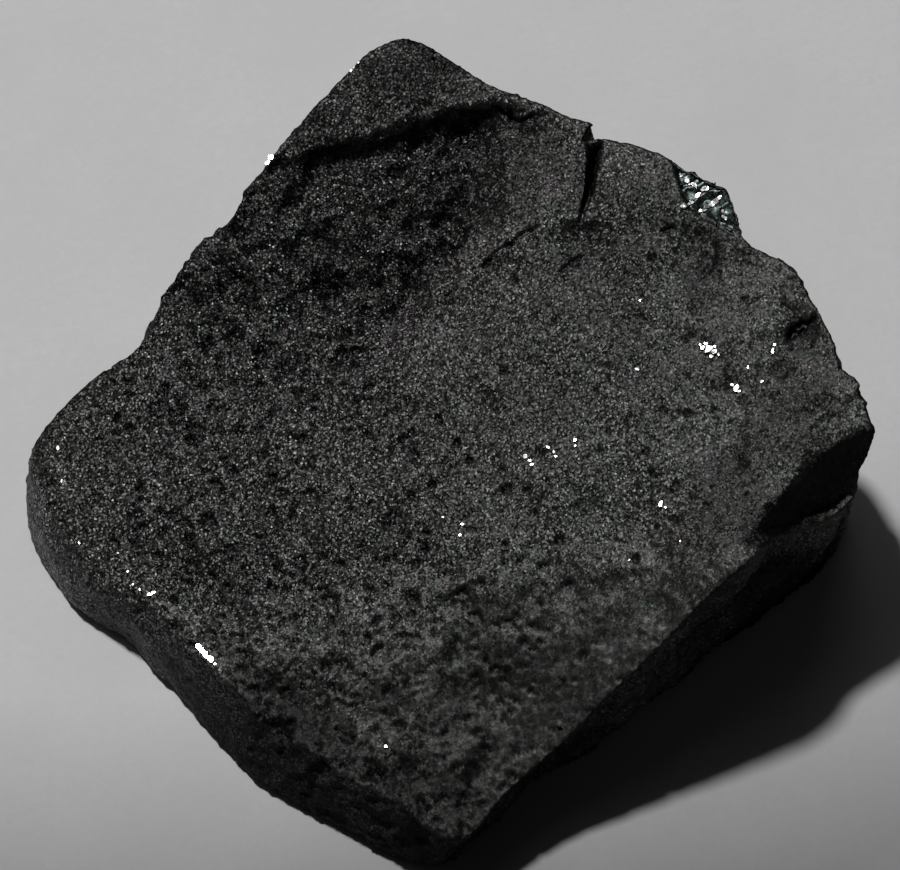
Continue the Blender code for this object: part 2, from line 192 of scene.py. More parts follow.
# the lump: the fragment's own mesh, refined and given its fracture relief
lump = {
    "levels": 1,            # of rounding, before it is refined
    "bends": (0.45, 0.5),   # from this bend on, in radians, an edge is kept sharper over the next stretch,
    "sharpest": 0.85,       # up to this crease,
    "softNearCast": 1.2,    # but not so near to the line of the cast skin
    "faceEdge": 0.165,      # longest mesh edge on the sloping face,
    "sideEdge": 0.21,       # on the sides that face the front,
    "backEdge": 0.33,       # on the others,
    "baseEdge": 3.0,        # underneath,
    "lineEdge": 0.105,      # and along cracks and on the glassy chip
    "lineReach": 0.26,
    "rounds": 5,            # of cutting edges that are too long
    "relaxing": 2,          # rounds of evening out the mesh after that
    "foot": 0.05,           # nothing is moved below this height
    "faceTurn": (0.15, 0.30),       # upward share of the normal, from which the face begins
    "skinSide": (-0.80, -0.60),     # the cast skin looks this way in plan
    "skinTurn": (0.55, 0.25),
    "skinReach": (2.6, 0.8),
    "scoopTop": 0.4,        # the scoop's relief fades over these stretches under its step,
    "scoopSide": 0.9,       # beyond the valley
    "scoopEnd": (-0.9, 3.2),        # and at its far end
    "swell": 0.045,         # height of the soft unevenness on the face
    "crumb": 0.042,         # height of the crumbly grains that stand out of it
    "crumbCells": (0.30, 2),        # their size and seed
    "crumbTop": 0.55,
    "crumbWaves": 0.35,
    "crumbInScoop": 0.5,    # they are higher by this share in the scoop,
    "crumbOnSides": 1.8,    # and this many times as high on the sides
    "crumbOnSkin": 0.8,
    "hackle": 0.17,         # extra relief in the scoop,
    "hackleMix": (0.8, 0.6, 0.3),   # from rounded lumps, narrow ridges and how far it is sunk
    "stepRim": 0.10,        # the scoop's steep step has this rim above it
    "stepFoot": 0.23,       # and this much deeper a foot,
    "rimBand": (-0.36, 0.34),       # how far its middle lies under the step's line, and its half width
    "footBand": (0.24, 0.50),
    "stepRight": (3.2, 2.0),        # the step fades there at the right
    "stepLeft": (-7.8, 4.0),        # and there at the left,
    "ragged": 0.24,         # and is broken in and out by this much
    "sideRelief": 0.16,
    "sideCells": (1.25, 6),
    "sideCellHeight": 0.7,  # under 1, the broken cells are taller than wide
    "sideMix": (1.3, 0.90, 0.45),   # broken cells, how far they are sunk, and splinters
    "litSide": (0.50, -0.87),       # the side that looks this way is broken less
    "striation": 0.10,      # upright scratches on the broken sides
    "skinRelief": 0.07,
    "skinFolds": 0.36,      # the skin is folded towards the front
    "foldsFrom": (-9.5, 3.0),
    "pits": 800,
    "pitRadius": (0.075, 0.15),
    "pitDepth": 1.1,        # share of its radius
    "pitsFewer": (0.55, 0.35),      # there are fewer pits this way,
    "pitsFade": (2.0, 9.0),
    "pitsFromLeft": (-13.4, 3.2),   # fewer at the left edge,
    "pitCrowds": (0.55, 0.9),       # and they crowd in patches
    "pitShape": (0.72, 1.3),        # how drawn out a pit is
    "pitWander": 0.6,
    "pitWall": (1.25, 0.7),         # its wall begins at this many radii and goes down over this many
    "pitsInScoop": 0.5,     # they are shallower by this share in the scoop
    "hollowWander": 0.75,
    "roundEdge": 1.25,      # a hollow's edge, in radii
    "fullShadeDepths": (0.10, 0.22),       # pits and hollows of this depth get the full painted shade
    "pitShadeShare": 0.50,       # and add to the painted shade by this share
    "darkLost": 0.45,       # share of the painted shade of pits and hollows that goes where the grain is blunt
    "softFront": (-1.5, 8.5),       # the grain is blunter from here to the front
    "softRight": (3.0, 7.0),        # and half as blunt to the right,
    "coarseLeft": (3.5, 8.0),       # and coarser to the left
    "inset": 0.001,         # the surface stays this far inside the solid's box
}

# the glassy chip in the face, with folds across it
chipFacet = {
    "outline": [
        (7.80, 7.95), (8.03, 7.10), (8.15, 6.55), (8.40, 6.05), (8.90, 5.80), (9.45, 5.45),
        (10.25, 4.75), (10.9, 6.8), (9.1, 8.2),
    ],
    "above": 6.5,           # it lies higher than this
    "edge": 0.12,
    "angle": 36.0,          # of its folds in plan, in degrees
    "fold": 0.62,           # from one fold to the next
    "wander": 0.9,
    "rising": 0.68,         # share of a fold that rises,
    "falling": 0.32,        # and that falls
    "height": 0.060,
    "swell": 0.03,
    "sunk": 0.16,
}

# lines on the face, in plan
ridgeLine = [
    (-9.0, 8.9), (-6.3, 9.6), (-4.7, 9.95), (-2.3, 10.0), (0.0, 10.55), (1.6, 10.6), (3.9, 9.7),
]
valleyLine = [
    (1.2, 11.6), (0.5, 9.0), (0.3, 6.2), (-1.2, 5.4), (-2.2, 4.2), (-3.7, 2.2), (-4.2, 0.5),
]
scoopEndLine = [(-11.5, 3.6), (-3.7, 2.0)]
castLine = [
    (-13.6, 2.4), (-14.7, 1.0), (-14.4, -0.9), (-12.9, -3.7), (-11.3, -5.2), (-10.3, -5.8),
    (-8.0, -8.3), (-6.7, -9.7), (-3.5, -12.2), (-1.7, -13.2), (-0.3, -14.3),
]
# the steep wall over the ledge
wallLine = [
    (10.5, -5.55), (11.03, -5.11), (11.58, -4.64), (12.31, -4.12), (12.96, -3.44), (13.67, -2.93),
    (14.3, -2.6),
]
cracks = [
    # stations, half width, depth
    ([(1.62, 10.66), (2.07, 10.25), (2.51, 10.09), (2.97, 10.25), (3.41, 10.19)], 0.07, 0.20),
    ([(3.03, 6.15), (2.57, 6.00), (2.14, 5.69), (1.67, 5.55), (1.25, 5.16)], 0.055, 0.14),
    ([(-1.38, 4.80), (-1.11, 4.95), (-0.78, 5.00)], 0.07, 0.16),
    ([(-0.18, 4.20), (-0.01, 4.30), (0.19, 4.55)], 0.06, 0.14),
    ([(-3.33, 2.55), (-3.03, 3.00), (-2.73, 3.30)], 0.08, 0.16),
    ([(12.75, 1.78), (12.40, 1.58), (12.28, 1.66), (11.99, 1.47)], 0.07, 0.20),
    ([(12.02, 1.52), (11.92, 1.30), (11.86, 1.15)], 0.13, 0.24),
    ([(11.55, 2.32), (11.74, 2.22), (11.90, 2.02)], 0.05, 0.09),
    ([(3.90, 4.50), (4.33, 4.87), (4.75, 5.18)], 0.06, 0.14),
    ([(7.50, 5.47), (7.74, 5.53), (7.97, 5.57)], 0.07, 0.20),
    ([(8.65, 5.95), (9.24, 5.62), (9.71, 5.19), (10.15, 4.80)], 0.06, 0.10),
    ([(9.20, 5.00), (9.30, 4.50), (9.10, 3.95), (8.70, 3.60)], 0.12, 0.05),
]
# dark hollows between the lumps of the scoop and on the lips, and the larger pits of the face
hollows = [
    # x, y, radius, depth
    (-0.55, 8.50, 0.50, 0.14), (-0.10, 7.60, 0.35, 0.08), (-1.62, 5.83, 0.38, 0.11),
    (-0.79, 5.98, 0.38, 0.14), (-0.04, 6.28, 0.40, 0.22), (-4.47, 5.33, 0.60, 0.30),
    (-7.34, 5.19, 0.38, 0.24), (-7.79, 3.80, 0.40, 0.18), (-6.77, 3.18, 0.42, 0.20),
    (-5.85, 2.47, 0.40, 0.20), (-3.97, 2.49, 0.38, 0.26), (-3.21, 6.94, 0.50, 0.14),
    (-1.50, 7.05, 0.38, 0.10), (-6.09, 8.01, 0.45, 0.12), (-5.40, 6.60, 0.40, 0.12),
    (-9.69, -6.31, 0.30, 0.20), (-11.03, -5.51, 0.22, 0.16), (-9.16, 5.22, 0.26, 0.16),
    (-8.85, 3.63, 0.28, 0.18), (-10.76, 1.62, 0.20, 0.18), (-9.34, 0.26, 0.24, 0.20),
    (-9.05, 0.60, 0.16, 0.16), (-7.53, 0.42, 0.20, 0.18), (-7.20, 0.28, 0.15, 0.16),
    (-6.88, 0.40, 0.14, 0.14), (-5.35, -0.25, 0.24, 0.20), (-5.00, -0.40, 0.16, 0.15),
    (-7.68, -1.09, 0.18, 0.17), (-6.71, -0.62, 0.20, 0.18), (-4.23, -5.96, 0.22, 0.19),
    (-5.31, -4.48, 0.24, 0.19), (-1.40, -6.30, 0.20, 0.17), (-2.46, -4.80, 0.19, 0.17),
    (2.44, -5.38, 0.17, 0.13), (3.84, -4.84, 0.16, 0.13), (-3.30, -2.60, 0.17, 0.15),
    (-8.70, -2.60, 0.20, 0.17), (-6.10, -3.10, 0.16, 0.15), (-2.10, -9.40, 0.22, 0.15),
    (-4.40, -8.20, 0.24, 0.17), (0.90, -9.00, 0.18, 0.13), (-5.90, -10.30, 0.42, 0.34),
    (-4.75, -11.70, 0.40, 0.30), (-3.60, -10.60, 0.36, 0.22), (-2.60, -12.00, 0.38, 0.26),
]


def chipShare(places):
    outline = chipFacet["outline"]
    edge = besideLine(places, outline + outline[:1])[0]
    return np.where(insideOutline(places, outline), ease(np.abs(edge) / chipFacet["edge"]), 0.0)


def scoopShare(places):
    underRidge = besideLine(places, ridgeLine)[0]
    pastValley = besideLine(places, valleyLine)[0]
    fromEnd = -besideLine(places, scoopEndLine)[0]
    beside = ease(underRidge / lump["scoopTop"]) * ease(1.0 + pastValley / lump["scoopSide"])
    return beside * grows(fromEnd, *lump["scoopEnd"])


def weldedCopy(node):
    bm = bmesh.new()
    bm.from_mesh(node.data)
    toDrawing = Matrix.Translation(-middle) @ Matrix.Scale(1.0 / mm, 4) @ node.matrix_world
    bmesh.ops.transform(bm, matrix=toDrawing, verts=bm.verts)
    bmesh.ops.remove_doubles(bm, verts=bm.verts, dist=0.0005)
    bmesh.ops.dissolve_degenerate(bm, edges=bm.edges, dist=0.0005)
    crease = bm.edges.layers.float.new("crease_edge")
    middles = np.array([(edge.verts[0].co + edge.verts[1].co)[:] for edge in bm.edges]) * 0.5
    fromCast = np.abs(besideLine(middles, castLine)[0])
    start, stretch = lump["bends"]
    for edge, away in zip(bm.edges, fromCast):
        kept = min(lump["sharpest"], max(0.0, (edge.calc_face_angle(0.0) - start) / stretch))
        edge[crease] = 0.0 if away < lump["softNearCast"] else kept
    return bm


def rounded(bm, levels):
    carrier = addPiece("rounding", bm)
    mesh = carrier.data
    smoother = carrier.modifiers.new("smoother", "SUBSURF")
    smoother.levels = levels
    smoother.render_levels = levels
    smoother.use_limit_surface = False
    graph = bpy.context.evaluated_depsgraph_get()
    finer = bpy.data.meshes.new_from_object(carrier.evaluated_get(graph))
    bpy.data.objects.remove(carrier)
    bpy.data.meshes.remove(mesh)
    result = bmesh.new()
    result.from_mesh(finer)
    bpy.data.meshes.remove(finer)
    bmesh.ops.triangulate(result, faces=result.faces)
    return result


# longest edge allowed at each place
def edgeLimits(places, normals):
    back, up = normals[:, 1], normals[:, 2]
    limits = np.where(back > 0.25, lump["backEdge"], lump["sideEdge"])
    limits = np.where(up > 0.50, lump["faceEdge"], limits)
    limits = np.where((up < -0.9) & (places[:, 2] < lump["foot"]), lump["baseEdge"], limits)
    fine = chipShare(places) > 0.0
    for stations, _, _ in cracks:
        fine |= np.abs(besideLine(places, stations)[0]) < lump["lineReach"]
    return np.where(fine & (up > 0.3), lump["lineEdge"], limits)


# every edge that is too long is cut into as many equal parts as it needs
def refined(bm):
    for _ in range(lump["rounds"]):
        bm.edges.ensure_lookup_table()
        bm.normal_update()
        ends = np.array([(*e.verts[0].co, *e.verts[1].co) for e in bm.edges])
        normals = np.array([(e.verts[0].normal + e.verts[1].normal)[:] for e in bm.edges]) * 0.5
        lengths = np.linalg.norm(ends[:, :3] - ends[:, 3:], axis=1)
        limits = edgeLimits((ends[:, :3] + ends[:, 3:]) * 0.5, normals)
        cuts = np.minimum(np.ceil(lengths / limits).astype(int) - 1, 3)
        if not cuts.any():
            break
        groups = [(count, [bm.edges[i] for i in np.flatnonzero(cuts == count)]) for count in (1, 2, 3)]
        for count, edges in groups:
            if edges:
                bmesh.ops.subdivide_edges(bm, edges=edges, cuts=count)
        bmesh.ops.triangulate(bm, faces=[f for f in bm.faces if len(f.verts) > 3])
    inner = [v for v in bm.verts if v.co.z > lump["foot"]]
    for _ in range(lump["relaxing"]):
        bmesh.ops.smooth_vert(bm, verts=inner, factor=0.5, use_axis_x=True, use_axis_y=True, use_axis_z=True)
    return bm


def pitPlaces(places, faceShare):
    chance = random.Random(21)
    candidates = np.flatnonzero(faceShare > 0.98)
    right, back = lump["pitsFewer"]
    edge, stretch = lump["pitsFade"]
    base, patches = lump["pitCrowds"]
    crowds = ease((edge - right * places[:, 0] - back * places[:, 1]) / stretch)
    crowded = ease(base + patches * wavesAt(places, "pitCrowds"))
    crowds *= crowded * grows(places[:, 0], *lump["pitsFromLeft"])
    small, large = lump["pitRadius"]
    found = []
    while len(found) < lump["pits"]:
        pick = chance.choice(candidates)
        if chance.random() < 0.03 + 0.97 * crowds[pick]:
            found.append((*places[pick], small + (large - small) * chance.random() ** 2.0))
    return found


def pitDepths(places, faceShare):
    tree = kdtree.KDTree(len(places))
    for index, place in enumerate(places):
        tree.insert(place, index)
    tree.balance()
    shorter, longer = lump["pitShape"]
    edge, slope = lump["pitWall"]
    depths = np.zeros(len(places))
    for number, (x, y, z, radius) in enumerate(pitPlaces(places, faceShare)):
        turn = number * 2.4
        for near, index, _ in tree.find_range((x, y, z), radius * 2.0):
            along = (near[0] - x) * math.cos(turn) + (near[1] - y) * math.sin(turn)
            across = (near[1] - y) * math.cos(turn) - (near[0] - x) * math.sin(turn)
            spread = math.hypot(along * shorter, across * longer) / radius
            spread *= 1.0 + lump["pitWander"] * noise.noise(near * 6.0)
            wall = max(0.0, min(1.0, (edge - spread) / slope))
            depth = radius * lump["pitDepth"] * wall * wall * (3.0 - 2.0 * wall)
            depths[index] = max(depths[index], depth)
    return depths


# each crack is shallower towards both ends
def crackDepths(places):
    depths = np.zeros(len(places))
    for stations, halfWidth, depth in cracks:
        beside, along = besideLine(places, stations)
        fade = ease(along / 0.15 + 0.3) * ease((1.0 - along) / 0.3 + 0.2)
        depths = np.maximum(depths, depth * fade * np.clip(1.3 - np.abs(beside) / halfWidth, 0.0, 1.0))
    return depths


def hollowDepths(places):
    depths = np.zeros(len(places))
    edge = lump["hollowWander"] * wavesAt(places, "hollowEdge")
    for x, y, radius, depth in hollows:
        away = np.hypot(places[:, 0] - x, places[:, 1] - y) / radius
        depths = np.maximum(depths, depth * ease(lump["roundEdge"] - away + edge))
    return depths


# round patches of painted shade
paintedShadePlaces = [
    # x, y, radius, strength
    (-0.7, 12.4, 2.2, 0.65), (-3.8, 11.8, 2.2, 0.45), (-5.4, 10.4, 1.4, 0.40), (-0.1, -12.8, 3.4, 0.60),
    (-5.2, -10.5, 1.7, 0.60), (8.9, 5.3, 0.7, 0.50), (9.1, 4.2, 0.6, 0.60), (8.6, 3.5, 0.7, 0.40),
    (11.9, 1.3, 0.5, 0.60), (4.8, 5.7, 1.1, 0.55), (6.6, 6.4, 1.6, 0.35), (2.2, 9.4, 1.5, 0.30),
    (4.9, 7.4, 0.6, 0.60), (7.5, 4.6, 2.4, 0.25), (3.4, 2.6, 3.6, 0.22), (9.2, 1.8, 4.2, 0.20),
    (9.7, -3.9, 2.0, 0.58), (11.9, -1.7, 1.7, 0.58), (8.6, -6.2, 1.6, 0.50), (4.8, -7.0, 2.0, 0.36),
    (12.6, 0.0, 1.6, 0.30), (-2.4, -9.5, 1.0, 0.64), (2.6, 8.9, 1.6, 0.42), (1.0, 7.6, 1.3, 0.68),
    (2.4, 7.2, 1.1, 0.40), (-0.5, 12.6, 1.2, 0.40), (4.2, 8.6, 0.9, 0.35), (-4.1, 6.6, 1.1, 0.50),
    (8.7, 3.2, 1.0, 0.32),
]
# bands of painted shade, how strong each is and over which stretches it grows or fades
paintedShadeBands = {
    "roundEdge": 1.35,              # of the round patches of painted shade, in radii
    # painted shade over the skin, growing from its left end and stronger towards the front
    "skin": 0.50,
    "skinFrom": (-14.1, 1.6),
    "skinFront": 0.76,
    "skinFrontFrom": (-11.2, 3.2),
    "wall": 0.90,                   # painted shade along the wall over the ledge
    "wallReach": (0.70, 0.40),
    "ridge": 0.36,                  # painted shadow along the top of the scoop's step
    "ridgeBand": (0.02, 0.30, 1.15),
    "ridgeRagged": 0.12,
    "ridgeRight": (2.2, 1.5),
    "ridgeLeft": (-8.2, 4.0),
    "lip": 0.72,                    # painted shade on the front lip, which has a ragged edge
    "lipRagged": 0.8,
    "lipReach": (1.7, 0.9),
    "lipLeft": (-8.8, 1.4),
    "lipRight": (-0.2, 1.6),
    "flankSide": (0.60, -0.80),     # the broken flank looks this way in plan
    # painted shade on the broken flank
    "flank": 0.56,
    "flankTurn": (0.1, 0.5),
    "flankLess": 0.65,              # the flank's painted shade is weaker at its right end
    "flankLessFrom": (8.5, 3.0),
    "bevel": 0.78,                  # painted shade on the face's edge over the flank
    "bevelTurn": (0.28, 0.22),
    "bevelLessFrom": (9.5, 1.5),
    "patchy": (0.6, 0.2),
}


# painted shade over the skin, growing from its left end and stronger towards the front
def skinPaintedShade(places, skin):
    band = paintedShadeBands
    x = places[:, 0]
    return [
        band["skinFront"] * grows(x, *band["skinFrontFrom"]) * skin,
        band["skin"] * grows(x, *band["skinFrom"]) * skin,
    ]


# painted shade along the wall over the ledge, a painted shadow along the scoop's step, and painted shade on
# the front lip
def linePaintedShade(places, skin):
    band = paintedShadeBands
    x = places[:, 0]
    wall = band["wall"] * fades(np.abs(besideLine(places, wallLine)[0]), *band["wallReach"])
    underRidge = besideLine(places, ridgeLine)[0] + band["ridgeRagged"] * wavesAt(places, "shadeRidgeWaves")
    centre, width, edge = band["ridgeBand"]
    ridge = band["ridge"] * ease(edge - np.abs(underRidge - centre) / width)
    ridge = ridge * fades(x, *band["ridgeRight"]) * grows(x, *band["ridgeLeft"])
    inward = np.abs(besideLine(places, castLine)[0]) + band["lipRagged"] * wavesAt(places, "shadeLipWaves")
    alongFront = grows(x, *band["lipLeft"]) * fades(x, *band["lipRight"])
    lip = band["lip"] * fades(inward, *band["lipReach"]) * alongFront * (1.0 - skin)
    return [wall, ridge, lip]


# painted shade on the broken flank that faces away from the light, and on the face's edge over it
def flankPaintedShade(places, normals, side):
    band = paintedShadeBands
    x = places[:, 0]
    towardFlank = normals[:, :2] @ np.array(band["flankSide"])
    flank = side * grows(towardFlank, *band["flankTurn"])
    flankLess = band["flankLess"] * grows(x, *band["flankLessFrom"])
    bevel = grows(towardFlank, *band["bevelTurn"]) * (1.0 - side)
    return [
        band["flank"] * flank * (1.0 - flankLess),
        band["bevel"] * bevel * (1.0 - grows(x, *band["bevelLessFrom"])),
    ]


# all the painted shade, as a share from 0 to 1
def paintedShadeShare(places, normals, skin, side):
    bright = np.ones(len(places))
    for x, y, radius, strength in paintedShadePlaces:
        away = np.hypot(places[:, 0] - x, places[:, 1] - y) / radius
        bright *= 1.0 - strength * ease(paintedShadeBands["roundEdge"] - away)
    shares = skinPaintedShade(places, skin) + linePaintedShade(places, skin) + flankPaintedShade(places, normals, side)
    for share in shares:
        bright *= 1.0 - share
    # weak painted shade is patchy, strong painted shade is even
    strength, less = paintedShadeBands["patchy"]
    patchy = strength * wavesAt(places, "shadePatches") - less
    return np.clip((1.0 - bright) * (1.0 + patchy * bright), 0.0, 1.0)


# how far each point belongs to each kind of surface
def surfaceShares(places, normals):
    nearCast = fades(np.abs(besideLine(places, castLine)[0]), *lump["skinReach"])
    skin = nearCast * grows(normals[:, :2] @ np.array(lump["skinSide"]), *lump["skinTurn"])
    face = grows(normals[:, 2], *lump["faceTurn"]) * (1.0 - skin)
    chip = chipShare(places) * face * ease(places[:, 2] - chipFacet["above"])
    return {
        "face": face,
        "skin": skin,
        "side": 1.0 - face - skin,
        "scoop": scoopShare(places) * face,
        "chip": chip,
        "rough": face * (1.0 - chip),
    }


def faceLayers(places, shares, crumb):
    crumbs = lump["crumb"] * crumb * (1.0 + lump["crumbInScoop"] * shares["scoop"])
    lumps, ridges, sunk = lump["hackleMix"]
    ridged = 1.0 - 2.0 * np.abs(wavesAt(places, "hackleRidges"))
    hackle = lumps * wavesAt(places, "hackle") + ridges * ridged - sunk
    return [
        shares["rough"] * (lump["swell"] * wavesAt(places, "swell") + crumbs),
        shares["scoop"] * lump["hackle"] * hackle,
    ]


# the scoop's steep step: a rim above it and a deeper foot
def stepLayer(places, shares):
    x = places[:, 0]
    underRidge = besideLine(places, ridgeLine)[0] + lump["ragged"] * wavesAt(places, "ragged")
    rim, rimWidth = lump["rimBand"]
    foot, footWidth = lump["footBand"]
    step = lump["stepRim"] * ease(1.0 - np.abs(underRidge - rim) / rimWidth)
    step -= lump["stepFoot"] * ease(1.0 - np.abs(underRidge - foot) / footWidth)
    return shares["face"] * fades(x, *lump["stepRight"]) * grows(x, *lump["stepLeft"]) * step


def sideLayers(places, normals, shares, crumb):
    side = shares["side"]
    chipped = cellsAt(places * np.array((1.0, 1.0, lump["sideCellHeight"])), *lump["sideCells"])
    cells, sunk, splinters = lump["sideMix"]
    hidden = ease(0.3 - normals[:, :2] @ np.array(lump["litSide"]))
    broken = lump["sideRelief"] * (1.0 + hidden)
    return [
        side * broken * (cells * chipped - sunk + splinters * wavesAt(places, "splinter")),
        side * lump["striation"] * wavesAt(places, "striation"),
        lump["crumbOnSides"] * side * lump["crumb"] * crumb,
    ]


def skinLayers(places, shares, crumb):
    skin = shares["skin"]
    folded = skin * lump["skinFolds"] * grows(places[:, 0], *lump["foldsFrom"])
    return [
        skin * lump["skinRelief"] * (wavesAt(places, "skin") + lump["crumbOnSkin"] * crumb),
        -folded * np.abs(wavesAt(places, "skinFolds")),
    ]


def chipLayer(places, shares):
    chip = chipFacet
    angle = math.radians(chip["angle"])
    turn = np.array(((math.cos(angle), math.sin(angle)), (-math.sin(angle), math.cos(angle))))
    across = (places[:, :2] @ turn.T)[:, 1]
    wander = chip["wander"] * wavesAt(places, "chipWander")
    steps = np.mod(across / chip["fold"] + wander, 1.0)
    rising, falling = chip["rising"], chip["falling"]
    fold = np.where(steps < rising, steps / rising, (1.0 - steps) / falling)
    swell = chip["swell"] * wavesAt(places, "chipSwell")
    return shares["chip"] * (chip["height"] * fold + swell - chip["sunk"])


def surfaceMasks(places, normals, shares, pits, deep):
    x, y = places[:, 0], places[:, 1]
    soft = np.maximum(fades(y, *lump["softFront"]), 0.5 * grows(x, *lump["softRight"]))
    # painted shade in pits and hollows: the deepest are wholly dark
    darkPit, darkHollow = lump["fullShadeDepths"]
    dark = np.clip(np.maximum(pits / darkPit, deep / darkHollow), 0.0, 1.0)
    kept = 1.0 - lump["darkLost"] * soft
    # painted shade: round patches and bands, with pits and hollows added in
    paintedShade = paintedShadeShare(places, normals, shares["skin"], shares["side"])
    return {
        "soft": soft,
        "coarse": np.maximum(fades(x, *lump["coarseLeft"]), shares["side"]),
        "paintedShade": np.maximum(paintedShade, lump["pitShadeShare"] * dark * kept),
        "skin": shares["skin"],
        "scoop": shares["scoop"],
        "chip": shares["chip"],
        "hollow": dark * kept,
    }


def fractureRelief(places, normals):
    shares = surfaceShares(places, normals)
    cells = cellsAt(places, *lump["crumbCells"])
    crumb = lump["crumbTop"] - cells + lump["crumbWaves"] * wavesAt(places, "crumb")
    pits = pitDepths(places, shares["rough"]) * shares["rough"]
    pits = pits * (1.0 - lump["pitsInScoop"] * shares["scoop"])
    deep = hollowDepths(places) * (1.0 - shares["side"])
    layers = [
        *faceLayers(places, shares, crumb),
        stepLayer(places, shares),
        *sideLayers(places, normals, shares, crumb),
        *skinLayers(places, shares, crumb),
        chipLayer(places, shares),
        -np.maximum(pits, deep),
        -crackDepths(places) * shares["face"],
    ]
    relief = np.where(places[:, 2] < lump["foot"], 0.0, sum(layers))
    return relief, surfaceMasks(places, normals, shares, pits, deep)


# the open crack, widest at the rim and closing to a hairline
openCrack = {
    "line": [(5.25, 9.45), (5.12, 8.4), (4.95, 7.4), (4.74, 6.6), (4.55, 5.9)],
    "reach": 0.52,          # the face is levelled this far from the crack's middle,
    "blend": 0.12,          # and blends in over this much
    "mouth": 0.27,          # half width at the rim
    "hairline": 0.05,
    "depth": 1.5,
    "shallow": 0.16,
    "closing": 1.5,
    "wall": 1.35,           # the wall begins at this many half widths
    "faceAbove": 8.8,       # heights that belong to the face,
    "cutAbove": 8.0,        # and heights that are levelled and cut
    "rimFrom": (0.10, 0.10),
    "tipBefore": (0.98, 0.10),
}


# the face around the crack is levelled, and the crack is cut into it with clean walls
def recutCrack(bm):
    cut = openCrack
    bm.verts.ensure_lookup_table()
    places = np.array([v.co[:] for v in bm.verts])
    beside, along = besideLine(places, cut["line"])
    away = np.abs(beside)
    reach = cut["reach"]
    onFace = (places[:, 2] > cut["faceAbove"]) & (along < 0.999)
    around = onFace & (away > reach) & (away < 2.0 * reach) & (along > 0.12)
    flat = np.c_[places[:, :2], np.ones(len(places))]
    slope = np.linalg.lstsq(flat[around], places[around, 2], rcond=None)[0]
    opening = (1.0 - along) ** cut["closing"]
    halfWidth = cut["hairline"] + (cut["mouth"] - cut["hairline"]) * opening
    depth = cut["shallow"] + (cut["depth"] - cut["shallow"]) * opening
    floor = flat @ slope - depth * np.clip(cut["wall"] - away / halfWidth, 0.0, 1.0)
    share = fades(away, reach, cut["blend"]) * grows(along, *cut["rimFrom"])
    share *= fades(along, *cut["tipBefore"])
    share *= places[:, 2] > cut["cutAbove"]
    heights = places[:, 2] + share * (floor - places[:, 2])
    for index in np.flatnonzero(share > 0.0):
        bm.verts[index].co.z = heights[index]


def makeLump():
    bm = refined(rounded(weldedCopy(frame["nodes"]["selenium_fragment"]), lump["levels"]))
    recutCrack(bm)
    bm.normal_update()
    print("lump: refined to", len(bm.verts), "points")
    places = np.array([v.co[:] for v in bm.verts])
    normals = np.array([v.normal[:] for v in bm.verts])
    relief, masks = fractureRelief(places, normals)
    print("lump: relief and masks worked out")
    places += normals * relief[:, None]
    places += np.array(middle)
    places = np.clip(places, np.array(cadLow) / mm + lump["inset"], np.array(cadHigh) / mm - lump["inset"])
    for vertex, place in zip(bm.verts, places):
        vertex.co = Vector(place) * mm
    piece = addPiece("selenium_lump", bm)
    piece.data.shade_smooth()
    for name, values in masks.items():
        layer = piece.data.attributes.new(name, "FLOAT", "POINT")
        layer.data.foreach_set("value", values.astype(np.float32))
    print("lump:", len(piece.data.polygons), "triangles")
    return piece


